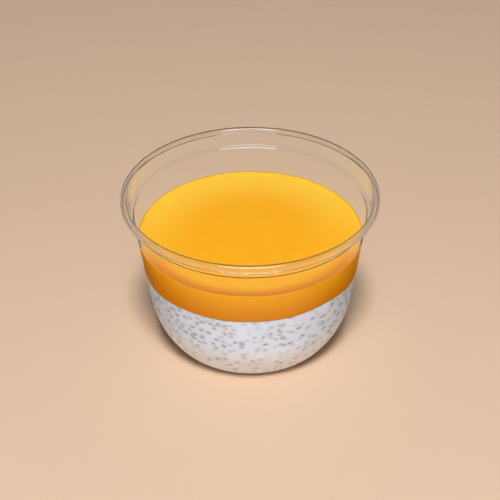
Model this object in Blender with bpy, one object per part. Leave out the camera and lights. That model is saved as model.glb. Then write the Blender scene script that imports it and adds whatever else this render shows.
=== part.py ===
"""Chia pudding with a layer of mango puree, in its clear plastic dessert cup.

Three turned bodies stand on the table at z = 0, round the Z axis:
  cup           thin clear cup with a rolled rim, a stacking shoulder and a raised centre under its foot
  chia_layer    white pudding that fills the cup's round bottom, with the seeds that lie against its side
  mango_layer   orange puree that lies on the pudding, with its edge drawn up a little at the wall
"""

import math
import random

import bmesh
import bpy
from mathutils import Matrix, Vector

MM = 0.001

# The cup
HEIGHT = 62.0 * MM
RIM_RADIUS = 47.5 * MM
WALL = 0.4 * MM
SHOULDER_TOP_Z = 55.5 * MM
SHOULDER_TOP_RADIUS = 44.35 * MM
SHOULDER_Z = 54.2 * MM
SHOULDER_RADIUS = 43.1 * MM
SHOULDER_PULLS = ((0.08 * MM, 0.6 * MM), (-0.12 * MM, -0.6 * MM))
BELLY_Z = 20.0 * MM
BELLY_RADIUS = 38.35 * MM
FOOT_RADIUS = 28.6 * MM
FOOT_WIDTH = 4.5 * MM
RECESS_HEIGHT = 1.4 * MM
RECESS_SLOPE = 2.5 * MM

# The lip: the wall's edge turned outwards over the top, straight down and curled in at the bottom
LIP_RADIUS = 1.15 * MM
LIP_HEIGHT = 2.9 * MM
CURL_RADIUS = 0.55 * MM
CURL_TURN = math.radians(150)

# How far the curve of the round bottom keeps to the side's taper, and to its rise from the foot
BELLY_PULL = 12.0 * MM
FOOT_PULL = 1.8 * MM
FOOT_RISE = math.radians(30)

# The contents
INTERFACE_Z = 32.65 * MM
MANGO_TOP_Z = 44.4 * MM
MENISCUS_HEIGHT = 1.0 * MM
MENISCUS_WIDTH = 4.0 * MM
MENISCUS_PULLS = (0.25, 0.6)
GAP = 0.3 * MM
SEED_RELIEF = 0.3 * MM
SIDE_GAP = GAP + SEED_RELIEF + 0.05 * MM

# The line between the layers waves a little: (waves round the cup, height, phase)
INTERFACE_WAVES = (
    (3, 0.30 * MM, math.radians(156)),
    (6, 0.33 * MM, math.radians(34)),
    (8, 0.22 * MM, math.radians(18)),
)

# The seeds that lie against the side
SEED_COUNT = 205
SEED_HALF_SIZES = (0.95 * MM, 0.68 * MM, 0.45 * MM)
SEED_SIZE_SPREAD = 0.14
SEED_SPACING = 2.5 * MM
SEED_LOWEST_Z = 4.0 * MM
SEED_DENSE_Z = 14.0 * MM
SEED_LOW_SHARE = 0.35
SEED_STEEPEST_LEAN = 1.2
SEED_TRIES = 200
SEED_RANDOM_START = 11

# Fineness
SEGMENTS = 48
BOTTOM_STEPS = 8
SHOULDER_STEPS = 3
MENISCUS_STEPS = 4
LIP_STEPS = 6
CURL_STEPS = 3
SHARP_ANGLE = math.radians(50)
WELD = 0.001 * MM
LEAN_STEP = 0.1 * MM


def clear_scene():
    """Remove what the file holds, so that only the cup and its contents are left."""
    for obj in list(bpy.data.objects):
        bpy.data.objects.remove(obj, do_unlink=True)


def plastic_material():
    """Clear plastic for the cup."""
    material = bpy.data.materials.new("clear_plastic")
    material.use_nodes = True
    surface = material.node_tree.nodes["Principled BSDF"]
    surface.inputs["Base Color"].default_value = (0.95, 0.96, 0.97, 1.0)
    surface.inputs["Roughness"].default_value = 0.05
    surface.inputs["Transmission Weight"].default_value = 1.0
    surface.inputs["IOR"].default_value = 1.57
    surface.inputs["Alpha"].default_value = 0.35
    return material


def food_material(name, colour, roughness):
    """Soft opaque food with a faint inner glow."""
    material = bpy.data.materials.new(name)
    material.use_nodes = True
    surface = material.node_tree.nodes["Principled BSDF"]
    surface.inputs["Base Color"].default_value = (*colour, 1.0)
    surface.inputs["Roughness"].default_value = roughness
    surface.inputs["Subsurface Weight"].default_value = 0.1
    surface.inputs["Subsurface Scale"].default_value = 2 * MM
    return material


def arc(centre, radius, start, turn, steps):
    """Points of an arc in the plane of (radius, z), from the angle start through turn."""
    return [
        (
            centre[0] + radius * math.cos(start + turn * i / steps),
            centre[1] + radius * math.sin(start + turn * i / steps),
        )
        for i in range(steps + 1)
    ]


def cubic(start, start_pull, end_pull, end, steps):
    """Points of a cubic curve from start to end, both included."""
    points = []
    for i in range(steps + 1):
        t = i / steps
        weights = ((1 - t) ** 3, 3 * (1 - t) ** 2 * t, 3 * (1 - t) * t**2, t**3)
        corners = (start, start_pull, end_pull, end)
        points.append(tuple(sum(w * c[axis] for w, c in zip(weights, corners)) for axis in (0, 1)))
    return points


def foot_outline():
    """The underside from the axis out to the ring that the cup stands on."""
    ring_inside = FOOT_RADIUS - FOOT_WIDTH
    return [(0.0, RECESS_HEIGHT), (ring_inside - RECESS_SLOPE, RECESS_HEIGHT), (ring_inside, 0.0)]


def side_outline():
    """The outer side from the foot up to the top of the stacking shoulder."""
    taper = Vector((SHOULDER_RADIUS - BELLY_RADIUS, SHOULDER_Z - BELLY_Z)).normalized() * BELLY_PULL
    bottom = cubic(
        (FOOT_RADIUS, 0.0),
        (FOOT_RADIUS + FOOT_PULL * math.cos(FOOT_RISE), FOOT_PULL * math.sin(FOOT_RISE)),
        (BELLY_RADIUS - taper.x, BELLY_Z - taper.y),
        (BELLY_RADIUS, BELLY_Z),
        BOTTOM_STEPS,
    )
    low_pull, high_pull = SHOULDER_PULLS
    shoulder = cubic(
        (SHOULDER_RADIUS, SHOULDER_Z),
        (SHOULDER_RADIUS + low_pull[0], SHOULDER_Z + low_pull[1]),
        (SHOULDER_TOP_RADIUS + high_pull[0], SHOULDER_TOP_Z + high_pull[1]),
        (SHOULDER_TOP_RADIUS, SHOULDER_TOP_Z),
        SHOULDER_STEPS,
    )
    return bottom + shoulder


def moved_in(points, distance):
    """The same outline moved inwards and upwards, away from the outer side, by distance."""
    moved = []
    last = len(points) - 1
    for i, point in enumerate(points):
        before = Vector(points[max(i - 1, 0)])
        after = Vector(points[min(i + 1, last)])
        here = Vector(point)
        first = (here - before if i else after - here).normalized()
        second = (after - here if i < last else here - before).normalized()
        normal = Vector((-first.y - second.y, first.x + second.x)).normalized()
        reach = distance / max(normal.dot(Vector((-second.y, second.x))), 0.5)
        moved.append((max(here.x + normal.x * reach, 0.0), here.y + normal.y * reach))
    moved[0] = (0.0 if points[0][0] == 0 else moved[0][0], moved[0][1])
    return moved


def turned(name, outline, material):
    """A closed body turned round the Z axis from an outline that starts and ends on it."""
    mesh = bpy.data.meshes.new(name)
    shape = bmesh.new()
    corners = [shape.verts.new((r, 0.0, z)) for r, z in outline]
    edges = [shape.edges.new(pair) for pair in zip(corners, corners[1:])]
    bmesh.ops.spin(
        shape,
        geom=corners + edges,
        cent=(0, 0, 0),
        axis=(0, 0, 1),
        angle=math.tau,
        steps=SEGMENTS,
        use_merge=True,
    )
    bmesh.ops.remove_doubles(shape, verts=shape.verts, dist=WELD)
    bmesh.ops.recalc_face_normals(shape, faces=shape.faces)
    shape.to_mesh(mesh)
    shape.free()
    mesh.materials.append(material)
    mesh.shade_smooth()
    mesh.set_sharp_from_angle(angle=SHARP_ANGLE)
    obj = bpy.data.objects.new(name, mesh)
    bpy.context.scene.collection.objects.link(obj)
    return obj


def wave_height(angle):
    """How far the line between the layers lies above its mean height at this angle."""
    return sum(height * math.cos(waves * angle - phase) for waves, height, phase in INTERFACE_WAVES)


def wave_level(obj, level, reach):
    """Let the face at this level wave, from nothing at the axis to the whole wave at the side."""
    for vertex in obj.data.vertices:
        if abs(vertex.co.z - level) > WELD:
            continue
        share = vertex.co.xy.length / reach
        vertex.co.z += share**3 * wave_height(math.atan2(vertex.co.y, vertex.co.x))


def lip_outline(inset):
    """The upper and outer side of the lip, moved in by inset, from the wall to the end of the curl."""
    turn_centre = (RIM_RADIUS - LIP_RADIUS, HEIGHT - LIP_RADIUS)
    curl_centre = (RIM_RADIUS - CURL_RADIUS, HEIGHT - LIP_HEIGHT + CURL_RADIUS)
    over = arc(turn_centre, LIP_RADIUS - inset, math.pi, -math.pi, LIP_STEPS)
    return over + arc(curl_centre, CURL_RADIUS - inset, 0.0, -CURL_TURN, CURL_STEPS)


def make_cup():
    """The cup: foot, round bottom, taper, shoulder and the lip."""
    outside = foot_outline() + side_outline()
    inside = moved_in(outside, WALL)
    outline = outside + lip_outline(WALL) + lip_outline(0.0)[::-1] + inside[::-1]
    return turned("cup", outline, plastic_material())


def make_chia_layer():
    """The pudding, bare of seeds: the shape of the cup's inside up to the line between the layers."""
    floor = moved_in(foot_outline() + side_outline()[:1], WALL + GAP)[:-1]
    side = [p for p in moved_in(side_outline(), WALL + SIDE_GAP) if p[1] < INTERFACE_Z - MM]
    level = INTERFACE_Z - GAP / 2
    reach = radius_at(moved_in(side_outline(), WALL + SIDE_GAP), level)
    outline = floor + side + [(reach, level), (reach / 2, level), (0.0, level)]
    layer = turned("chia_layer", outline, food_material("chia_pudding", (0.76, 0.74, 0.76), 0.45))
    wave_level(layer, level, reach)
    return layer


def make_mango_layer():
    """The puree: a slice of the cup's inside, its top drawn up a little at the wall."""
    level = INTERFACE_Z + GAP / 2
    inside = moved_in(side_outline(), WALL + GAP)
    edge_z = MANGO_TOP_Z + MENISCUS_HEIGHT
    low, high = radius_at(inside, level), radius_at(inside, edge_z)
    near_pull, far_pull = MENISCUS_PULLS
    meniscus = cubic(
        (high, edge_z),
        (high - near_pull * MENISCUS_WIDTH, MANGO_TOP_Z + near_pull * MENISCUS_HEIGHT),
        (high - far_pull * MENISCUS_WIDTH, MANGO_TOP_Z),
        (high - MENISCUS_WIDTH, MANGO_TOP_Z),
        MENISCUS_STEPS,
    )
    outline = (
        [(0.0, level), (low / 2, level), (low, level)]
        + meniscus
        + [(high / 2, MANGO_TOP_Z), (0.0, MANGO_TOP_Z)]
    )
    layer = turned("mango_layer", outline, food_material("mango_puree", (0.92, 0.42, 0.03), 0.3))
    wave_level(layer, level, low)
    return layer


def radius_at(points, z):
    """The radius of an outline of the side at height z."""
    for (r0, z0), (r1, z1) in zip(points, points[1:]):
        if z0 <= z <= z1:
            return r0 + (r1 - r0) * (z - z0) / (z1 - z0)
    raise ValueError(f"the side has no point at {z / MM:.1f} mm")


def seed_places(rng):
    """Points spread evenly over the pudding's side, as (place, outward direction)."""
    highest = INTERFACE_Z - GAP / 2 - SEED_HALF_SIZES[0] * (1 + SEED_SIZE_SPREAD)
    side = moved_in(side_outline(), WALL + SIDE_GAP)
    places = []
    for _ in range(SEED_TRIES * SEED_COUNT):
        angle = rng.uniform(0, math.tau)
        z = rng.uniform(SEED_LOWEST_Z, highest)
        radius = radius_at(side, z)
        lean = (radius_at(side, z + LEAN_STEP) - radius) / LEAN_STEP
        # A slanting stretch holds more surface for each step of height, and the bottom has fewer seeds.
        share = math.hypot(1, lean) / math.hypot(1, SEED_STEEPEST_LEAN)
        if z < SEED_DENSE_Z:
            share *= SEED_LOW_SHARE + (1 - SEED_LOW_SHARE) * z / SEED_DENSE_Z
        if rng.random() > share or z > highest + wave_height(angle):
            continue
        outward = Vector((math.cos(angle), math.sin(angle), -lean)).normalized()
        place = Vector((radius * math.cos(angle), radius * math.sin(angle), z))
        if all((place - other).length > SEED_SPACING for other, _ in places):
            places.append((place, outward))
        if len(places) == SEED_COUNT:
            break
    return places


def make_seed(index, place, outward, rng, mesh, collection):
    """One seed, sunk in the side so that it stands proud by the seeds' relief at most."""
    size = 1 + rng.uniform(-SEED_SIZE_SPREAD, SEED_SIZE_SPREAD)
    half = [size * half_size for half_size in SEED_HALF_SIZES]
    turn = Matrix.Rotation(rng.uniform(0, math.pi), 4, "Z")
    stand = outward.to_track_quat("Z", "Y").to_matrix().to_4x4()
    centre = place - outward * (half[2] - SEED_RELIEF)
    seed = bpy.data.objects.new(f"seed_{index:03d}", mesh)
    seed.matrix_world = Matrix.Translation(centre) @ stand @ turn @ Matrix.Diagonal((*half, 1.0))
    collection.objects.link(seed)


def add_seeds(layer):
    """Join the seeds that show at the side to the pudding by one union."""
    rng = random.Random(SEED_RANDOM_START)
    seeds = bpy.data.collections.new("seeds")
    bpy.context.scene.collection.children.link(seeds)
    shape = bmesh.new()
    bmesh.ops.create_icosphere(shape, subdivisions=1, radius=1.0)
    mesh = bpy.data.meshes.new("seed")
    shape.to_mesh(mesh)
    shape.free()
    for index, (place, outward) in enumerate(seed_places(rng)):
        make_seed(index, place, outward, rng, mesh, seeds)
    union = layer.modifiers.new("seeds", "BOOLEAN")
    union.operation = "UNION"
    union.solver = "MANIFOLD"
    union.operand_type = "COLLECTION"
    union.collection = seeds
    bpy.context.view_layer.update()
    graph = bpy.context.evaluated_depsgraph_get()
    joined = bpy.data.meshes.new_from_object(layer.evaluated_get(graph))
    layer.modifiers.clear()
    layer.data = joined
    joined.name = layer.name
    for seed in list(seeds.objects):
        bpy.data.objects.remove(seed, do_unlink=True)
    bpy.data.collections.remove(seeds)


def main():
    clear_scene()
    make_cup()
    add_seeds(make_chia_layer())
    make_mango_layer()


main()
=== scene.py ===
"""Looks of a chia pudding under mango puree in its clear plastic cup.

The file is laid out as an add-on. Run as a script, it makes each piece with its own operator:
  clear_cup      thin turned cup with a rolled rim and a stacking shoulder
  mango_puree    smooth orange layer that fills the cup above the pudding
  chia_pudding   white pudding in the round bottom
  chia_seeds     the seeds that lie against the side of the pudding
and a stage with a pale floor, soft lamps and the camera. Everything is in metres, +Z up.
"""

import math
import random

import bmesh
import bpy
from mathutils import Matrix, Vector
from mathutils.kdtree import KDTree


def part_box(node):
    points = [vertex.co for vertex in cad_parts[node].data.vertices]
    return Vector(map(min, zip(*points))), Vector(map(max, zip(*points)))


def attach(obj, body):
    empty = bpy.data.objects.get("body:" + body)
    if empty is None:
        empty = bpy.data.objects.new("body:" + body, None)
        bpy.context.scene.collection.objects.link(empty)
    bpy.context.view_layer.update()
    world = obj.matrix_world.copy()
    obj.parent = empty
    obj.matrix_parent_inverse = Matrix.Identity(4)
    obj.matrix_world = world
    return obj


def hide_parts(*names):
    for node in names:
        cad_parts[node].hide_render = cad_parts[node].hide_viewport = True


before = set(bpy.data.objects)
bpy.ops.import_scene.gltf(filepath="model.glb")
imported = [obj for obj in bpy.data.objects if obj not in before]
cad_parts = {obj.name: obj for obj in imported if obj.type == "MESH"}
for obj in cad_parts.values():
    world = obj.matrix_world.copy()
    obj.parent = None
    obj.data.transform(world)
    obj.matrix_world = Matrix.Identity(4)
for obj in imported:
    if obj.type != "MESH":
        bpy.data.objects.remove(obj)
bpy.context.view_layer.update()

bl_info = {
    "name": "Chia pudding cup",
    "version": (1, 0, 0),
    "blender": (4, 5, 0),
    "location": "View3D > Sidebar > Pudding",
    "description": "Builds a chia pudding with mango puree in a clear cup, piece by piece",
    "category": "Add Mesh",
}

MM = 0.001

# Sizes that the frame gives
RIM_RADIUS = round(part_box("cup")[1].x, 4)
HEIGHT = round(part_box("cup")[1].z, 4)

# Fineness of the turned pieces
SEGMENTS = 256
PUDDING_SEGMENTS = 448
PUDDING_STEP = 0.45 * MM
BOTTOM_STEPS = 48
SHOULDER_STEPS = 16
LIP_STEPS = 28
CURL_STEPS = 14
MENISCUS_STEPS = 16
WELD = 0.001 * MM

# Waves of the line between the layers: how many round the cup, how high and their phase in degrees
LAYER_WAVES = ((3, 0.30 * MM, 156), (6, 0.33 * MM, 34), (8, 0.22 * MM, 18))
# Inner rings of a level face, as shares of its radius
RING_SHARES = (0.9, 0.75, 0.5, 0.25, 0.0)
SHARPEST_MITRE = 0.5
PUREE_WALL_STEP = 1.0 * MM
PUDDING_OVERLAP = 0.05 * MM

# Where the looks of the plastic change, as heights
RUBBED_HEIGHTS = (HEIGHT - 6.0 * MM, HEIGHT - 2.4 * MM)
LIP_MIRROR_HEIGHTS = (HEIGHT - 9.0 * MM, HEIGHT - 5.0 * MM)
PLASTIC_TINT = (0.975, 0.985, 0.99, 1.0)
PLASTIC_IOR = 1.45
CLEAR_TINT = (0.985, 0.987, 0.99, 1.0)

# Where the colours of the filling run into each other, as distances from the axis, places in Y or heights:
# painted light near the wall at the back, painted shade along the front wall and at the wall line, painted
# light in the round bottom, and the fading of the deeper seeds
# Painted light: the puree's top turns paler near the wall, most at the back, where the back wall reflects
# light onto it
PAINTED_LIGHT_RADII = (18 * MM, 40 * MM)
PAINTED_LIGHT_Y = (-24 * MM, 30 * MM)
# Painted shade: a dark band on the puree's top along the front wall, and a thin dark line where the top meets
# the wall all round
PAINTED_SHADE_RADII = (34.2 * MM, 39.6 * MM)
PAINTED_SHADE_Y = (-8 * MM, -22 * MM)
WALL_SHADE_RADII = (40.9 * MM, 41.3 * MM)
# Painted light: the pudding turns paler towards the round bottom
PAINTED_LIGHT_FOOT_HEIGHTS = (22 * MM, 9 * MM)
DEEP_SEED_HEIGHTS = (20 * MM, 13 * MM)

# The gel round a seed tints the pudding, most of all at the seed
GEL_REACH = 1.5 * MM
GEL_TINT = 0.55
GEL_FADE = 1.3

# Pudding veils a seed a little everywhere, more at its edge and most in the round bottom
VEIL_EVERYWHERE = 0.12
VEIL_AT_EDGE = 0.2
VEIL_LOW = 0.75
VEIL_LOW_TOP = 19 * MM
VEIL_LOW_FADE = 8 * MM
SEED_SEGMENTS = 8
SEED_RINGS = 5
SEED_TONE_START = 5

FLOOR_HALF_SIZE = 3.0
LAMP_AIM = Vector((0.0, 0.0, 0.03))
LAMP_COLOUR = (0.93, 1.0, 1.14)
STUDIO_COLOUR = (1.0, 0.84, 0.68, 1.0)
SENSOR_WIDTH = 36.0

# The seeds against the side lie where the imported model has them, which is built from a coarser outline
MODEL_BOTTOM_STEPS = 8
MODEL_SHOULDER_STEPS = 3
MODEL_SIDE_GAP = 0.65 * MM
MODEL_LEVEL_GAP = 0.15 * MM
MODEL_LEAN_STEP = 0.1 * MM
MODEL_RANDOM_START = 11


class CupSizes(bpy.types.PropertyGroup):
    """Sizes of the clear cup, measured on its outer side."""

    wall: bpy.props.FloatProperty(
        name="Wall", description="Thickness of the plastic", default=0.4 * MM, unit="LENGTH"
    )
    lip_radius: bpy.props.FloatProperty(
        name="Lip radius",
        description="Radius of the turn over the top of the rim",
        default=1.15 * MM,
        unit="LENGTH",
    )
    lip_height: bpy.props.FloatProperty(
        name="Lip height",
        description="From the top of the rim to its lower edge",
        default=2.9 * MM,
        unit="LENGTH",
    )
    curl_radius: bpy.props.FloatProperty(
        name="Curl radius",
        description="Radius of the curled lower edge of the rim",
        default=0.55 * MM,
        unit="LENGTH",
    )
    curl_turn: bpy.props.FloatProperty(
        name="Curl turn",
        description="How far the lower edge is curled in",
        default=math.radians(150),
        subtype="ANGLE",
    )
    shoulder_top_z: bpy.props.FloatProperty(
        name="Shoulder top height",
        description="Top of the stacking shoulder",
        default=55.5 * MM,
        unit="LENGTH",
    )
    shoulder_top_radius: bpy.props.FloatProperty(
        name="Shoulder top radius", description="Radius above the shoulder", default=44.35 * MM, unit="LENGTH"
    )
    shoulder_z: bpy.props.FloatProperty(
        name="Shoulder height", description="Foot of the stacking shoulder", default=54.2 * MM, unit="LENGTH"
    )
    shoulder_radius: bpy.props.FloatProperty(
        name="Shoulder radius", description="Radius below the shoulder", default=43.1 * MM, unit="LENGTH"
    )
    shoulder_low_pull: bpy.props.FloatVectorProperty(
        name="Shoulder low pull",
        description="Out and up, where the shoulder's curve leaves the taper",
        default=(0.08 * MM, 0.6 * MM),
        size=2,
        unit="LENGTH",
    )
    shoulder_high_pull: bpy.props.FloatVectorProperty(
        name="Shoulder high pull",
        description="Out and up, where the shoulder's curve reaches the upper wall",
        default=(-0.12 * MM, -0.6 * MM),
        size=2,
        unit="LENGTH",
    )
    belly_z: bpy.props.FloatProperty(
        name="Belly height",
        description="Where the taper turns into the bottom",
        default=20.0 * MM,
        unit="LENGTH",
    )
    belly_radius: bpy.props.FloatProperty(
        name="Belly radius", description="Radius where the bottom begins", default=38.35 * MM, unit="LENGTH"
    )
    belly_pull: bpy.props.FloatProperty(
        name="Belly pull",
        description="How long the curve keeps to the taper",
        default=12.0 * MM,
        unit="LENGTH",
    )
    foot_pull: bpy.props.FloatProperty(
        name="Foot pull",
        description="How long the curve keeps to the foot's rise",
        default=1.8 * MM,
        unit="LENGTH",
    )
    foot_rise: bpy.props.FloatProperty(
        name="Foot rise",
        description="How steeply the side leaves the foot",
        default=math.radians(30),
        subtype="ANGLE",
    )
    foot_radius: bpy.props.FloatProperty(
        name="Foot radius",
        description="Outer radius of the ring it stands on",
        default=28.6 * MM,
        unit="LENGTH",
    )
    foot_width: bpy.props.FloatProperty(
        name="Foot width", description="Width of the ring it stands on", default=4.5 * MM, unit="LENGTH"
    )
    recess_height: bpy.props.FloatProperty(
        name="Recess height",
        description="How far the middle of the foot is raised",
        default=1.4 * MM,
        unit="LENGTH",
    )
    recess_slope: bpy.props.FloatProperty(
        name="Recess slope",
        description="Width of the slope round the recess",
        default=2.5 * MM,
        unit="LENGTH",
    )


class FillingSizes(bpy.types.PropertyGroup):
    """Levels of the two layers and the places of the seeds."""

    interface_z: bpy.props.FloatProperty(
        name="Layer line",
        description="Mean height of the line between the layers",
        default=32.65 * MM,
        unit="LENGTH",
    )
    top_z: bpy.props.FloatProperty(
        name="Puree level", description="Height of the puree's flat top", default=44.4 * MM, unit="LENGTH"
    )
    meniscus_height: bpy.props.FloatProperty(
        name="Edge height",
        description="How far the puree is drawn up at the wall",
        default=1.0 * MM,
        unit="LENGTH",
    )
    back_edge_share: bpy.props.FloatProperty(
        name="Back edge", description="Share of the edge height at the back", default=0.35
    )
    meniscus_width: bpy.props.FloatProperty(
        name="Edge width", description="Width of the drawn-up edge", default=4.0 * MM, unit="LENGTH"
    )
    meniscus_pulls: bpy.props.FloatVectorProperty(
        name="Edge pulls",
        description="Shares of the width that set how the edge bends",
        default=(0.25, 0.6),
        size=2,
    )
    into_wall: bpy.props.FloatProperty(
        name="Into the wall",
        description="How far the filling reaches into the plastic",
        default=0.1 * MM,
        unit="LENGTH",
    )
    seed_count: bpy.props.IntProperty(
        name="Seeds", description="Seeds that lie against the side", default=205, min=0
    )
    seed_half_length: bpy.props.FloatProperty(
        name="Seed half length", description="Half the length of a seed", default=0.95 * MM, unit="LENGTH"
    )
    seed_half_width: bpy.props.FloatProperty(
        name="Seed half width", description="Half the width of a seed", default=0.68 * MM, unit="LENGTH"
    )
    seed_half_depth: bpy.props.FloatProperty(
        name="Seed half depth",
        description="Half the thickness of a seed, flat behind the plastic",
        default=0.2 * MM,
        unit="LENGTH",
    )
    seed_spread: bpy.props.FloatProperty(
        name="Seed size spread", description="Share by which the seeds differ in size", default=0.14
    )
    seed_spacing: bpy.props.FloatProperty(
        name="Seed spacing", description="Least distance between two seeds", default=2.5 * MM, unit="LENGTH"
    )
    seed_lowest_z: bpy.props.FloatProperty(
        name="Lowest seed", description="Height of the lowest seed", default=4.0 * MM, unit="LENGTH"
    )
    seed_dense_z: bpy.props.FloatProperty(
        name="Dense seeds",
        description="Height from which the seeds lie dense",
        default=14.0 * MM,
        unit="LENGTH",
    )
    seed_low_share: bpy.props.FloatProperty(
        name="Low seeds", description="Share of the seeds that the foot gets", default=0.35
    )
    seed_steepest_lean: bpy.props.FloatProperty(
        name="Steepest lean", description="Slope of the side where it holds most seeds", default=1.2
    )
    seed_tries: bpy.props.IntProperty(name="Seed tries", description="Tries for each seed", default=200)
    seed_relief: bpy.props.FloatProperty(
        name="Seed relief",
        description="How far a seed stands out of the pudding",
        default=0.1 * MM,
        unit="LENGTH",
    )


class Colours(bpy.types.PropertyGroup):
    """Colours of the filling and the floor; some of the filling's colours are painted light and shade."""

    puree: bpy.props.FloatVectorProperty(
        name="Puree",
        description="Top of the puree, away from the wall",
        default=(0.67, 0.285, 0.009),
        subtype="COLOR",
    )
    # Painted light and sheen: paler orange near the wall, strongest at the back, where the wall reflects
    # light onto the puree
    puree_painted_light: bpy.props.FloatVectorProperty(
        name="Puree edge",
        description="Top of the puree near the wall at the back",
        default=(0.70, 0.385, 0.028),
        subtype="COLOR",
    )
    # Painted light: the side is a lighter orange than the top, to make up for the light that the side misses
    puree_side: bpy.props.FloatVectorProperty(
        name="Puree side",
        description="Upper side of the puree",
        default=(0.81, 0.365, 0.007),
        subtype="COLOR",
    )
    # Painted shade: darker orange on the top by the front wall, and along the line where the top meets the
    # wall all round
    puree_painted_shade: bpy.props.FloatVectorProperty(
        name="Puree band",
        description="Top of the puree right by the wall at the front",
        default=(0.54, 0.14, 0.002),
        subtype="COLOR",
    )
    # Painted shade: the side runs darker towards the pudding, where less light reaches it
    puree_side_shaded: bpy.props.FloatVectorProperty(
        name="Puree foot",
        description="Side of the puree by the pudding",
        default=(0.72, 0.237, 0.003),
        subtype="COLOR",
    )
    pudding: bpy.props.FloatVectorProperty(
        name="Pudding", description="White of the pudding", default=(0.73, 0.764, 0.812), subtype="COLOR"
    )
    # Painted light: the round bottom is painted paler, to make up for the light that its downward-facing side
    # misses
    pudding_painted_light: bpy.props.FloatVectorProperty(
        name="Pudding foot",
        description="Pudding in the round bottom",
        default=(0.98, 0.99, 1.0),
        subtype="COLOR",
    )
    seed_grey: bpy.props.FloatVectorProperty(
        name="Grey seed", description="Colour of most seeds", default=(0.37, 0.37, 0.37), subtype="COLOR"
    )
    seed_brown: bpy.props.FloatVectorProperty(
        name="Brown seed",
        description="Colour of the brownest seeds",
        default=(0.42, 0.375, 0.34),
        subtype="COLOR",
    )
    floor: bpy.props.FloatVectorProperty(
        name="Floor", description="Colour of the floor", default=(0.530, 0.352, 0.219), subtype="COLOR"
    )


class StageSizes(bpy.types.PropertyGroup):
    """Where the camera stands and how it looks."""

    camera_distance: bpy.props.FloatProperty(
        name="Distance",
        description="From the camera to the point that it looks at",
        default=619.1 * MM,
        unit="LENGTH",
    )
    camera_pitch: bpy.props.FloatProperty(
        name="Pitch",
        description="How far the camera looks down",
        default=math.radians(35.05),
        subtype="ANGLE",
    )
    camera_roll: bpy.props.FloatProperty(
        name="Roll",
        description="Turn of the camera about its view",
        default=math.radians(-0.52),
        subtype="ANGLE",
    )
    camera_aim: bpy.props.FloatVectorProperty(
        name="Aim",
        description="Point that the camera looks at",
        default=(-0.235 * MM, 0.0, 36.16 * MM),
        subtype="XYZ",
    )
    camera_lens: bpy.props.FloatProperty(
        name="Lens",
        description="Focal length in millimetres",
        default=119.04,
    )


def arc(centre, radius, start, turn, steps):
    """Points of an arc in the plane of (radius, z), from the angle start through turn."""
    return [
        (
            centre[0] + radius * math.cos(start + turn * i / steps),
            centre[1] + radius * math.sin(start + turn * i / steps),
        )
        for i in range(steps + 1)
    ]


def cubic(start, start_pull, end_pull, end, steps):
    """Points of a cubic curve from start to end, both included."""
    points = []
    for i in range(steps + 1):
        t = i / steps
        weights = ((1 - t) ** 3, 3 * (1 - t) ** 2 * t, 3 * (1 - t) * t**2, t**3)
        corners = (start, start_pull, end_pull, end)
        points.append(tuple(sum(w * c[axis] for w, c in zip(weights, corners)) for axis in (0, 1)))
    return points


def foot_outline(cup):
    """The underside from the axis out to the ring that the cup stands on."""
    ring_inside = cup.foot_radius - cup.foot_width
    return [(0.0, cup.recess_height), (ring_inside - cup.recess_slope, cup.recess_height), (ring_inside, 0.0)]


def side_outline(cup, bottom_steps=BOTTOM_STEPS, shoulder_steps=SHOULDER_STEPS):
    """The outer side from the foot up to the top of the stacking shoulder."""
    taper = Vector((cup.shoulder_radius - cup.belly_radius, cup.shoulder_z - cup.belly_z)).normalized()
    bottom = cubic(
        (cup.foot_radius, 0.0),
        (
            cup.foot_radius + cup.foot_pull * math.cos(cup.foot_rise),
            cup.foot_pull * math.sin(cup.foot_rise),
        ),
        (cup.belly_radius - taper.x * cup.belly_pull, cup.belly_z - taper.y * cup.belly_pull),
        (cup.belly_radius, cup.belly_z),
        bottom_steps,
    )
    shoulder = cubic(
        (cup.shoulder_radius, cup.shoulder_z),
        (cup.shoulder_radius + cup.shoulder_low_pull[0], cup.shoulder_z + cup.shoulder_low_pull[1]),
        (cup.shoulder_top_radius + cup.shoulder_high_pull[0], cup.shoulder_top_z + cup.shoulder_high_pull[1]),
        (cup.shoulder_top_radius, cup.shoulder_top_z),
        shoulder_steps,
    )
    return bottom + shoulder


def moved_in(points, distance):
    """The same outline moved inwards and upwards, away from the outer side, by distance."""
    moved = []
    last = len(points) - 1
    for i, point in enumerate(points):
        before = Vector(points[max(i - 1, 0)])
        after = Vector(points[min(i + 1, last)])
        here = Vector(point)
        first = (here - before if i else after - here).normalized()
        second = (after - here if i < last else here - before).normalized()
        normal = Vector((-first.y - second.y, first.x + second.x)).normalized()
        reach = distance / max(normal.dot(Vector((-second.y, second.x))), SHARPEST_MITRE)
        moved.append((max(here.x + normal.x * reach, 0.0), here.y + normal.y * reach))
    moved[0] = (0.0 if points[0][0] == 0 else moved[0][0], moved[0][1])
    return moved


def lip_outline(cup, inset):
    """The upper and outer side of the lip, moved in by inset, from the wall to the end of the curl."""
    turn_centre = (RIM_RADIUS - cup.lip_radius, HEIGHT - cup.lip_radius)
    curl_centre = (RIM_RADIUS - cup.curl_radius, HEIGHT - cup.lip_height + cup.curl_radius)
    over = arc(turn_centre, cup.lip_radius - inset, math.pi, -math.pi, LIP_STEPS)
    return over + arc(curl_centre, cup.curl_radius - inset, 0.0, -cup.curl_turn, CURL_STEPS)


def divided(points, step):
    """The same outline with its long stretches divided so that none is longer than step."""
    made = [points[0]]
    for start, end in zip(points, points[1:]):
        count = max(math.ceil(math.dist(start, end) / step), 1)
        for i in range(1, count + 1):
            made.append(tuple(a + (b - a) * i / count for a, b in zip(start, end)))
    return made


def radius_at(points, z):
    """The radius of an outline of the side at height z."""
    for (r0, z0), (r1, z1) in zip(points, points[1:]):
        if z0 <= z <= z1:
            return r0 + (r1 - r0) * (z - z0) / (z1 - z0)
    raise ValueError(f"the side has no point at {z / MM:.1f} mm")


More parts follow.
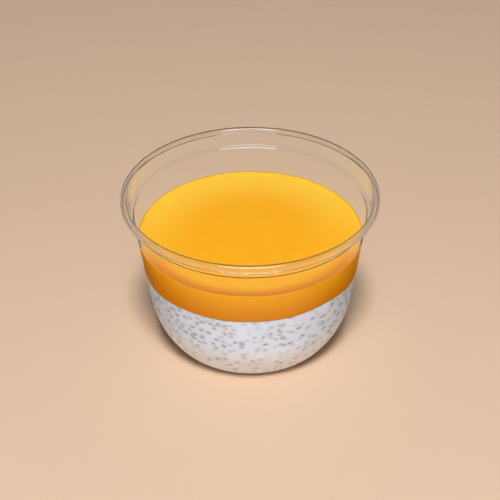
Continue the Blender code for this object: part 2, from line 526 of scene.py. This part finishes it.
def wave_height(angle):
    """How far the line between the layers lies above its mean height at this angle."""
    return sum(height * math.cos(count * angle - math.radians(phase)) for count, height, phase in LAYER_WAVES)


def wave_level(shape, level, reach):
    """Let the face at this level wave, from nothing at the axis to the whole wave at the side."""
    for vertex in shape.verts:
        if abs(vertex.co.z - level) > WELD:
            continue
        share = vertex.co.xy.length / reach
        vertex.co.z += share**3 * wave_height(math.atan2(vertex.co.y, vertex.co.x))


def clamped(value):
    """The value, kept between 0 and 1."""
    return min(max(value, 0.0), 1.0)


def turned(outline, segments=SEGMENTS):
    """A closed bmesh turned round the Z axis from an outline that starts and ends on it."""
    shape = bmesh.new()
    corners = [shape.verts.new((r, 0.0, z)) for r, z in outline]
    edges = [shape.edges.new(pair) for pair in zip(corners, corners[1:])]
    bmesh.ops.spin(
        shape,
        geom=corners + edges,
        cent=(0, 0, 0),
        axis=(0, 0, 1),
        angle=math.tau,
        steps=segments,
        use_merge=True,
    )
    bmesh.ops.remove_doubles(shape, verts=shape.verts, dist=WELD)
    bmesh.ops.recalc_face_normals(shape, faces=shape.faces)
    return shape


def finished(name, shape, material, sharp=None):
    """An object with this bmesh as its mesh, shaded smooth but for edges over sharp degrees."""
    mesh = bpy.data.meshes.new(name)
    shape.to_mesh(mesh)
    shape.free()
    mesh.materials.append(material)
    mesh.shade_smooth()
    if sharp is not None:
        mesh.set_sharp_from_angle(angle=math.radians(sharp))
    piece = bpy.data.objects.new(name, mesh)
    bpy.context.scene.collection.objects.link(piece)
    return piece


def new_tree(name):
    """A new material's node tree, empty but for the output, and the material."""
    material = bpy.data.materials.new(name)
    material.use_nodes = True
    tree = material.node_tree
    tree.nodes.clear()
    tree.nodes.new("ShaderNodeOutputMaterial")
    return tree, material


def add(tree, kind, inputs=None, **settings):
    """A node of this kind, with values or links on its named inputs."""
    node = tree.nodes.new("ShaderNode" + kind)
    for name, value in settings.items():
        setattr(node, name, value)
    for name, value in (inputs or {}).items():
        if isinstance(value, bpy.types.NodeSocket):
            tree.links.new(value, node.inputs[name])
        else:
            node.inputs[name].default_value = value
    return node


def colour_mix(tree, share, first, second, blend="MIX"):
    """Colour that runs from first to second with share; each may be a socket or a colour."""
    node = tree.nodes.new("ShaderNodeMix")
    node.data_type = "RGBA"
    node.blend_type = blend
    for index, value in ((0, share), (6, first), (7, second)):
        if isinstance(value, bpy.types.NodeSocket):
            tree.links.new(value, node.inputs[index])
        elif index == 0:
            node.inputs[index].default_value = value
        else:
            node.inputs[index].default_value = (*value[:3], 1.0)
    return node.outputs[2]


def smooth_range(tree, value, start, end, low=0.0, high=1.0):
    """Smooth change from low at start to high at end."""
    node = add(
        tree,
        "MapRange",
        {"Value": value, "From Min": start, "From Max": end, "To Min": low, "To Max": high},
        interpolation_type="SMOOTHSTEP",
    )
    return node.outputs["Result"]


def combined(tree, operation, first, second):
    """Two values, each a socket or a number, put together by this operation."""
    return add(tree, "Math", {0: first, 1: second}, operation=operation).outputs["Value"]


def mottled(tree, base, pattern, darkest, lightest):
    """The base colour, made darker and lighter by a pattern."""
    return colour_mix(tree, 1.0, base, colour_mix(tree, pattern, darkest, lightest), "MULTIPLY")


def object_place(tree):
    """The place on the piece in metres, and the outputs that split it into X, Y and Z."""
    place = add(tree, "TexCoord").outputs["Object"]
    return place, add(tree, "SeparateXYZ", {"Vector": place}).outputs


def axis_distance(tree, place):
    """The distance of a place from the cup's axis."""
    flat = add(tree, "VectorMath", {0: place, 1: (1.0, 1.0, 0.0)}, operation="MULTIPLY")
    return add(tree, "VectorMath", {0: flat.outputs["Vector"]}, operation="LENGTH").outputs["Value"]


def show(tree, shader):
    """Link a shader to the material's output."""
    output = next(n for n in tree.nodes if n.type == "OUTPUT_MATERIAL")
    tree.links.new(shader, output.inputs["Surface"])


def plastic():
    """Clear thermoformed plastic, that lets the lamps' light through to the filling."""
    tree, material = new_tree("clear plastic")
    place, parts = object_place(tree)
    drawn = add(tree, "TexNoise", {"Vector": place, "Scale": 90.0, "Detail": 2.0, "Roughness": 0.5})
    haze = smooth_range(tree, drawn.outputs["Fac"], 0.35, 0.7, low=0.0, high=0.02)
    rubbed = smooth_range(tree, parts["Z"], *RUBBED_HEIGHTS, low=0.0, high=0.07)
    bump = add(tree, "Bump", {"Height": drawn.outputs["Fac"], "Strength": 0.05, "Distance": 0.4 * MM})
    skin = {
        "Roughness": combined(tree, "ADD", haze, rubbed),
        "IOR": PLASTIC_IOR,
        "Normal": bump.outputs["Normal"],
    }
    glass = add(tree, "BsdfPrincipled", {"Base Color": PLASTIC_TINT, "Transmission Weight": 1.0, **skin})
    dull = add(tree, "BsdfRefraction", {"Color": PLASTIC_TINT, **skin})
    # Below the lip the slanting ends of the side only refract, and don't mirror the floor
    slant = add(tree, "LayerWeight", {"Blend": 0.5}).outputs["Facing"]
    mirror = smooth_range(tree, slant, 0.2, 0.62, low=0.8, high=0.03)
    at_lip = smooth_range(tree, parts["Z"], *LIP_MIRROR_HEIGHTS)
    mirror = combined(tree, "MAXIMUM", mirror, at_lip)
    seen = add(tree, "MixShader", {"Fac": mirror, 1: dull.outputs["BSDF"], 2: glass.outputs["BSDF"]})
    # Light that reaches the filling, or leaves it, passes straight through
    clear = add(tree, "BsdfTransparent", {"Color": CLEAR_TINT})
    path = add(tree, "LightPath").outputs
    lit = combined(tree, "MAXIMUM", path["Is Shadow Ray"], path["Is Diffuse Ray"])
    whole = add(tree, "MixShader", {"Fac": lit, 1: seen.outputs["Shader"], 2: clear.outputs["BSDF"]})
    show(tree, whole.outputs["Shader"])
    return material


def puree(colours, filling):
    """Smooth moist fruit puree, with painted light near the wall towards the back and a painted shade band
    along the front wall; its side is painted lighter than the top and darker towards the pudding, to stand in
    for how the light falls.
    """
    tree, material = new_tree("mango puree")
    place, parts = object_place(tree)
    radius = axis_distance(tree, place)
    # Painted light and sheen: the top turns paler near the wall, most at the back, where the back wall
    # reflects light onto it
    light_near_wall = smooth_range(tree, radius, *PAINTED_LIGHT_RADII)
    light_at_back = smooth_range(tree, parts["Y"], *PAINTED_LIGHT_Y, low=0.05)
    top = colour_mix(tree, combined(tree, "MULTIPLY", light_near_wall, light_at_back), colours.puree, colours.puree_painted_light)
    # Painted shade: a dark band along the front wall and a thin dark line at the wall all round
    shade_to_wall = smooth_range(tree, radius, *PAINTED_SHADE_RADII)
    shade_at_front = smooth_range(tree, parts["Y"], *PAINTED_SHADE_Y, high=0.9)
    line = smooth_range(tree, radius, *WALL_SHADE_RADII, high=0.7)
    band = combined(tree, "MAXIMUM", combined(tree, "MULTIPLY", shade_to_wall, shade_at_front), line)
    top = colour_mix(tree, band, top, colours.puree_painted_shade)
    # Painted light and shade: the side is painted lighter than the top, and darker towards the pudding
    down = smooth_range(tree, parts["Z"], filling.top_z, filling.interface_z)
    side = colour_mix(tree, down, colours.puree_side, colours.puree_side_shaded)
    facing = add(tree, "SeparateXYZ", {"Vector": add(tree, "TexCoord").outputs["Normal"]}).outputs["Z"]
    on_side = smooth_range(tree, facing, 0.3, 0.1)
    base = colour_mix(tree, on_side, top, side)
    pulp = add(tree, "TexNoise", {"Vector": place, "Scale": 420.0, "Detail": 4.0, "Roughness": 0.6})
    base = mottled(tree, base, pulp.outputs["Fac"], (0.99, 0.985, 0.98), (1.01, 1.015, 1.02))
    swirl = add(tree, "TexNoise", {"Vector": place, "Scale": 25.0, "Detail": 1.0})
    sheen = smooth_range(tree, swirl.outputs["Fac"], 0.2, 0.8, low=0.28, high=0.31)
    wet = smooth_range(tree, on_side, 0.0, 1.0, low=0.22, high=0.05)
    bump = add(tree, "Bump", {"Height": swirl.outputs["Fac"], "Strength": 0.02, "Distance": 0.1 * MM})
    surface = add(
        tree,
        "BsdfPrincipled",
        {
            "Base Color": base,
            "Roughness": sheen,
            "IOR": 1.38,
            "Specular IOR Level": wet,
            "Subsurface Weight": 0.6,
            "Subsurface Radius": (1.0, 0.4, 0.1),
            "Subsurface Scale": 4 * MM,
            "Normal": bump.outputs["Normal"],
        },
    )
    show(tree, surface.outputs["BSDF"])
    return material


def pudding(colours):
    """Milky pudding, painted paler in the round bottom to make up for the light that its downward-facing side
    misses, with the seeds that lie deeper in it as faint grey spots.
    """
    tree, material = new_tree("chia pudding")
    place, parts = object_place(tree)
    # Painted light: paler towards the round bottom
    low = smooth_range(tree, parts["Z"], *PAINTED_LIGHT_FOOT_HEIGHTS)
    base = colour_mix(tree, low, colours.pudding, colours.pudding_painted_light)
    gel = add(tree, "Attribute", attribute_name="seed_shade").outputs["Fac"]
    base = colour_mix(tree, gel, base, colours.seed_grey)
    base = colour_mix(tree, deep_seeds(tree, place, parts["Z"]), base, colours.seed_grey)
    cloud = add(tree, "TexNoise", {"Vector": place, "Scale": 160.0, "Detail": 3.0})
    base = mottled(tree, base, cloud.outputs["Fac"], (0.95, 0.95, 0.95), (1.05, 1.05, 1.05))
    gloss = smooth_range(tree, cloud.outputs["Fac"], 0.3, 0.7, low=0.35, high=0.55)
    bump = add(tree, "Bump", {"Height": cloud.outputs["Fac"], "Strength": 0.2, "Distance": 0.15 * MM})
    surface = add(
        tree,
        "BsdfPrincipled",
        {
            "Base Color": base,
            "Roughness": gloss,
            "IOR": 1.35,
            "Specular IOR Level": 0.08,
            "Subsurface Weight": 0.5,
            "Subsurface Radius": (1.0, 0.92, 0.85),
            "Subsurface Scale": 3 * MM,
            "Normal": bump.outputs["Normal"],
        },
    )
    show(tree, surface.outputs["BSDF"])
    return material


def deep_seeds(tree, place, height):
    """How strongly a seed deeper in the pudding shows: each by its own depth, and less in the bottom."""
    flatter = add(tree, "VectorMath", {0: place, 1: (1.0, 1.0, 1.5)}, operation="MULTIPLY").outputs["Vector"]
    cells = add(tree, "TexVoronoi", {"Vector": flatter, "Scale": 340.0, "Randomness": 1.0})
    near = smooth_range(tree, cells.outputs["Distance"], 0.6, 0.16)
    depth = add(tree, "SeparateColor", {"Color": cells.outputs["Color"]}).outputs["Red"]
    share = smooth_range(tree, depth, 0.0, 1.0, low=0.3, high=0.9)
    faint = smooth_range(tree, height, *DEEP_SEED_HEIGHTS, low=1.0, high=0.3)
    return combined(tree, "MULTIPLY", combined(tree, "MULTIPLY", near, share), faint)


def seed_coat(colours):
    """Mottled coat of a soaked seed, veiled by pudding."""
    tree, material = new_tree("chia seed")
    place = add(tree, "TexCoord").outputs["Object"]
    tone = add(tree, "Attribute", attribute_name="seed_tone").outputs["Fac"]
    veil = add(tree, "Attribute", attribute_name="seed_veil").outputs["Fac"]
    coat = colour_mix(tree, tone, colours.seed_grey, colours.seed_brown)
    marks = add(tree, "TexNoise", {"Vector": place, "Scale": 2600.0, "Detail": 3.0, "Roughness": 0.7})
    coat = mottled(tree, coat, marks.outputs["Fac"], (0.7, 0.7, 0.7), (1.4, 1.35, 1.3))
    coat = colour_mix(tree, veil, coat, colours.pudding)
    bump = add(tree, "Bump", {"Height": marks.outputs["Fac"], "Strength": 0.3, "Distance": 0.05 * MM})
    gloss = smooth_range(tree, marks.outputs["Fac"], 0.3, 0.7, low=0.65, high=0.85)
    surface = add(
        tree,
        "BsdfPrincipled",
        {
            "Base Color": coat,
            "Roughness": gloss,
            "IOR": 1.35,
            "Specular IOR Level": 0.03,
            "Normal": bump.outputs["Normal"],
        },
    )
    show(tree, surface.outputs["BSDF"])
    return material


def floor_paint(colours):
    """Plain pale floor with hardly any grain."""
    tree, material = new_tree("floor")
    place = add(tree, "TexCoord").outputs["Object"]
    grain = add(tree, "TexNoise", {"Vector": place, "Scale": 30.0, "Detail": 4.0})
    base = mottled(tree, colours.floor, grain.outputs["Fac"], (0.985, 0.985, 0.985), (1.015, 1.015, 1.015))
    surface = add(tree, "BsdfPrincipled", {"Base Color": base, "Roughness": 0.6})
    show(tree, surface.outputs["BSDF"])
    return material


def seed_places(cup, filling, rng):
    """Points spread over the pudding's side, as (place, outward direction)."""
    side = moved_in(side_outline(cup, MODEL_BOTTOM_STEPS, MODEL_SHOULDER_STEPS), cup.wall + MODEL_SIDE_GAP)
    highest = filling.interface_z - MODEL_LEVEL_GAP - filling.seed_half_length * (1 + filling.seed_spread)
    dense, low_share = filling.seed_dense_z, filling.seed_low_share
    places = []
    for _ in range(filling.seed_tries * filling.seed_count):
        angle = rng.uniform(0, math.tau)
        z = rng.uniform(filling.seed_lowest_z, highest)
        radius = radius_at(side, z)
        lean = (radius_at(side, z + MODEL_LEAN_STEP) - radius) / MODEL_LEAN_STEP
        share = math.hypot(1, lean) / math.hypot(1, filling.seed_steepest_lean)
        if z < dense:
            share *= low_share + (1 - low_share) * z / dense
        if rng.random() > share or z > highest + wave_height(angle):
            continue
        outward = Vector((math.cos(angle), math.sin(angle), -lean)).normalized()
        place = Vector((radius * math.cos(angle), radius * math.sin(angle), z))
        if all((place - other).length > filling.seed_spacing for other, _ in places):
            places.append((place, outward))
        if len(places) == filling.seed_count:
            break
    return places


def seed_stands(cup, filling):
    """Every seed's place, size, outward direction and turn on the side of the pudding."""
    rng = random.Random(MODEL_RANDOM_START)
    seeds = []
    shift = MODEL_SIDE_GAP + filling.into_wall
    for place, outward in seed_places(cup, filling, rng):
        size = 1 + rng.uniform(-filling.seed_spread, filling.seed_spread)
        seeds.append((place + outward * shift, size, outward, rng.uniform(0, math.pi)))
    return seeds


class PUDDING_OT_stage(bpy.types.Operator):
    """Lay the floor, hang the soft lamps and set up the camera"""

    bl_idname = "pudding.stage"
    bl_label = "Stage"

    def execute(self, context):
        colours = context.scene.pudding_colours
        stage = context.scene.pudding_stage
        shape = bmesh.new()
        bmesh.ops.create_grid(shape, x_segments=2, y_segments=2, size=FLOOR_HALF_SIZE)
        floor = finished("floor", shape, floor_paint(colours))
        # The panel makes the highlights on the plastic, and the others light what stands in it
        panel = self.lamp("panel", place=(0.0, -0.62, 0.94), size=(0.74, 0.80), power=12.5)
        panel.visible_diffuse = False
        key = self.lamp("key", place=(0.0, -0.46, 0.92), size=(0.27, 0.24), power=16.4)
        left = self.lamp("left", place=(-0.74, -0.74, 0.30), size=(1.1, 0.2), power=1.45)
        right = self.lamp("right", place=(0.74, -0.74, 0.30), size=(1.1, 0.2), power=1.45)
        fill = self.lamp("fill", place=(0.0, 0.95, 0.46), size=(2.0, 0.35), power=3.2)
        for lamp in (key, left, right, fill):
            lamp.visible_glossy = False
            lamp.visible_transmission = False
        self.surround(context.scene)
        context.scene.view_settings.view_transform = "Standard"
        self.camera(context.scene, stage)
        return {"FINISHED"}

    def lamp(self, name, place, size, power):
        """A rectangular soft lamp at place that shines at the cup."""
        light = bpy.data.lights.new(name, "AREA")
        light.shape = "RECTANGLE"
        light.size, light.size_y = size
        light.energy = power
        light.color = LAMP_COLOUR
        lamp = bpy.data.objects.new(name, light)
        lamp.location = place
        lamp.rotation_euler = (LAMP_AIM - Vector(place)).to_track_quat("-Z", "Y").to_euler()
        bpy.context.scene.collection.objects.link(lamp)
        return lamp

    def surround(self, scene):
        """Dim warm studio walls that only glossy and clear surfaces see, darker above than near the floor."""
        world = bpy.data.worlds.new("studio")
        world.use_nodes = True
        world.cycles_visibility.diffuse = False
        tree = world.node_tree
        parts = add(tree, "SeparateXYZ", {"Vector": add(tree, "TexCoord").outputs["Generated"]})
        light = smooth_range(tree, parts.outputs["Z"], 0.15, 0.5, low=0.08, high=0.02)
        background = tree.nodes["Background"]
        background.inputs["Color"].default_value = STUDIO_COLOUR
        tree.links.new(light, background.inputs["Strength"])
        scene.world = world

    def camera(self, scene, stage):
        """The camera, that looks down at the aim from the front."""
        data = bpy.data.cameras.new("camera")
        data.lens = stage.camera_lens
        data.sensor_width = SENSOR_WIDTH
        camera = bpy.data.objects.new("camera", data)
        back = Vector((0.0, -math.cos(stage.camera_pitch), math.sin(stage.camera_pitch)))
        facing = (-back).to_track_quat("-Z", "Y").to_matrix().to_4x4()
        roll = Matrix.Rotation(stage.camera_roll, 4, "Z")
        place = Matrix.Translation(Vector(stage.camera_aim) + back * stage.camera_distance)
        camera.matrix_world = place @ facing @ roll
        scene.collection.objects.link(camera)
        scene.camera = camera


class PUDDING_OT_cup(bpy.types.Operator):
    """Turn the clear cup with its rolled rim and stacking shoulder"""

    bl_idname = "pudding.cup"
    bl_label = "Clear cup"

    def execute(self, context):
        cup = context.scene.pudding_cup
        outside = foot_outline(cup) + side_outline(cup)
        inside = moved_in(outside, cup.wall)
        shape = turned(outside + lip_outline(cup, cup.wall) + lip_outline(cup, 0.0)[::-1] + inside[::-1])
        piece = finished("clear_cup", shape, plastic(), sharp=50)
        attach(piece, "root")
        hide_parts("cup")
        return {"FINISHED"}


class PUDDING_OT_mango_puree(bpy.types.Operator):
    """Fill the cup above the pudding with mango puree"""

    bl_idname = "pudding.mango_puree"
    bl_label = "Mango puree"

    def execute(self, context):
        cup = context.scene.pudding_cup
        filling = context.scene.pudding_filling
        side = moved_in(side_outline(cup), cup.wall - filling.into_wall)
        edge_z = filling.top_z + filling.meniscus_height
        low = radius_at(side, filling.interface_z)
        high = radius_at(side, edge_z)
        width = filling.meniscus_width
        near, far = filling.meniscus_pulls
        meniscus = cubic(
            (high, edge_z),
            (high - near * width, filling.top_z + near * filling.meniscus_height),
            (high - far * width, filling.top_z),
            (high - width, filling.top_z),
            MENISCUS_STEPS,
        )
        wall = divided([(low, filling.interface_z), (high, edge_z)], PUREE_WALL_STEP)[1:-1]
        flat = [(meniscus[-1][0] * share, filling.top_z) for share in RING_SHARES]
        under = [(low * share, filling.interface_z) for share in (*RING_SHARES[::-1], 1.0)]
        shape = turned(under + wall + meniscus + flat)
        wave_level(shape, filling.interface_z, low)
        self.lower_back_edge(shape, filling)
        piece = finished("mango_puree", shape, puree(context.scene.pudding_colours, filling), sharp=45)
        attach(piece, "root")
        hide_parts("mango_layer")
        return {"FINISHED"}

    def lower_back_edge(self, shape, filling):
        """Draw the edge up less towards the back of the cup."""
        for vertex in shape.verts:
            rise = vertex.co.z - filling.top_z
            if rise > WELD:
                back = 0.5 + 0.5 * vertex.co.y / vertex.co.xy.length
                vertex.co.z -= rise * back * (1 - filling.back_edge_share)


class PUDDING_OT_chia_pudding(bpy.types.Operator):
    """Fill the round bottom with white pudding"""

    bl_idname = "pudding.chia_pudding"
    bl_label = "Chia pudding"

    def execute(self, context):
        cup = context.scene.pudding_cup
        filling = context.scene.pudding_filling
        inset = cup.wall - filling.into_wall
        level = filling.interface_z + PUDDING_OVERLAP
        bottom = moved_in(foot_outline(cup) + side_outline(cup)[:1], inset)[:-1]
        side = moved_in(side_outline(cup), inset)
        reach = radius_at(side, level)
        side = divided([p for p in side if p[1] < cup.belly_z] + [(reach, level)], PUDDING_STEP)
        top = [(reach * share, level) for share in RING_SHARES]
        shape = turned(bottom + side + top, PUDDING_SEGMENTS)
        wave_level(shape, level, reach)
        self.shade_round_seeds(shape, seed_stands(cup, filling))
        piece = finished("chia_pudding", shape, pudding(context.scene.pudding_colours), sharp=60)
        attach(piece, "root")
        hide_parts("chia_layer")
        return {"FINISHED"}

    def shade_round_seeds(self, shape, seeds):
        """Tint the pudding where the gel round a seed lies against the wall."""
        shade = shape.verts.layers.float.new("seed_shade")
        tree = KDTree(len(seeds))
        for index, seed in enumerate(seeds):
            tree.insert(seed[0], index)
        tree.balance()
        for vertex in shape.verts:
            _, _, near = tree.find(vertex.co)
            vertex[shade] = GEL_TINT * max(0.0, 1 - near / GEL_REACH) ** GEL_FADE


class PUDDING_OT_chia_seeds(bpy.types.Operator):
    """Press the seeds against the side of the pudding"""

    bl_idname = "pudding.chia_seeds"
    bl_label = "Chia seeds"

    def execute(self, context):
        cup = context.scene.pudding_cup
        filling = context.scene.pudding_filling
        half_sizes = Vector((filling.seed_half_length, filling.seed_half_width, filling.seed_half_depth))
        shape = bmesh.new()
        tone = shape.verts.layers.float.new("seed_tone")
        veil = shape.verts.layers.float.new("seed_veil")
        rng = random.Random(SEED_TONE_START)
        for place, size, outward, turn in seed_stands(cup, filling):
            half = half_sizes * size
            stand = outward.to_track_quat("Z", "Y").to_matrix().to_4x4()
            centre = place - outward * (half.z - filling.seed_relief)
            fit = (
                Matrix.Translation(centre)
                @ stand
                @ Matrix.Rotation(turn, 4, "Z")
                @ Matrix.Diagonal((*half, 1.0))
                @ Matrix.Rotation(math.pi / 2, 4, "Y")
            )
            made = bmesh.ops.create_uvsphere(
                shape, u_segments=SEED_SEGMENTS, v_segments=SEED_RINGS, radius=1.0, matrix=fit
            )
            brown = rng.random() ** 2
            for vertex in made["verts"]:
                over = (vertex.co - place).dot(outward) / filling.seed_relief
                low = clamped((VEIL_LOW_TOP - vertex.co.z) / VEIL_LOW_FADE)
                vertex[tone] = brown
                vertex[veil] = max(clamped(1 - over) ** 2 * VEIL_AT_EDGE, low * VEIL_LOW, VEIL_EVERYWHERE)
        bmesh.ops.recalc_face_normals(shape, faces=shape.faces)
        piece = finished("chia_seeds", shape, seed_coat(context.scene.pudding_colours))
        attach(piece, "root")
        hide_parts("chia_layer")
        return {"FINISHED"}


class PUDDING_PT_panel(bpy.types.Panel):
    """Lists the pieces of the pudding and what can be changed on them"""

    bl_idname = "PUDDING_PT_panel"
    bl_label = "Chia pudding"
    bl_space_type = "VIEW_3D"
    bl_region_type = "UI"
    bl_category = "Pudding"

    def draw(self, context):
        for operator in OPERATORS:
            self.layout.operator(operator.bl_idname)
        for title, name in GROUPS.items():
            box = self.layout.box()
            box.label(text=title)
            group = getattr(context.scene, name)
            for value in group.bl_rna.properties:
                if not value.is_readonly and value.identifier != "name":
                    box.prop(group, value.identifier)


GROUPS = {
    "Cup": "pudding_cup",
    "Filling": "pudding_filling",
    "Colours": "pudding_colours",
    "Stage": "pudding_stage",
}
PROPERTY_GROUPS = (CupSizes, FillingSizes, Colours, StageSizes)
OPERATORS = (
    PUDDING_OT_stage,
    PUDDING_OT_cup,
    PUDDING_OT_mango_puree,
    PUDDING_OT_chia_pudding,
    PUDDING_OT_chia_seeds,
)


def register():
    """Make the classes known and give every scene the groups of sizes and colours."""
    for kind in (*PROPERTY_GROUPS, *OPERATORS, PUDDING_PT_panel):
        bpy.utils.register_class(kind)
    for name, group in zip(GROUPS.values(), PROPERTY_GROUPS):
        setattr(bpy.types.Scene, name, bpy.props.PointerProperty(type=group))


def unregister():
    """Take the groups and the classes away again."""
    for name in GROUPS.values():
        delattr(bpy.types.Scene, name)
    for kind in (PUDDING_PT_panel, *OPERATORS, *PROPERTY_GROUPS):
        bpy.utils.unregister_class(kind)


def main():
    """Register the add-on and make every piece."""
    register()
    bpy.ops.pudding.stage()
    bpy.ops.pudding.cup()
    bpy.ops.pudding.mango_puree()
    bpy.ops.pudding.chia_pudding()
    bpy.ops.pudding.chia_seeds()


if __name__ == "__main__":
    main()
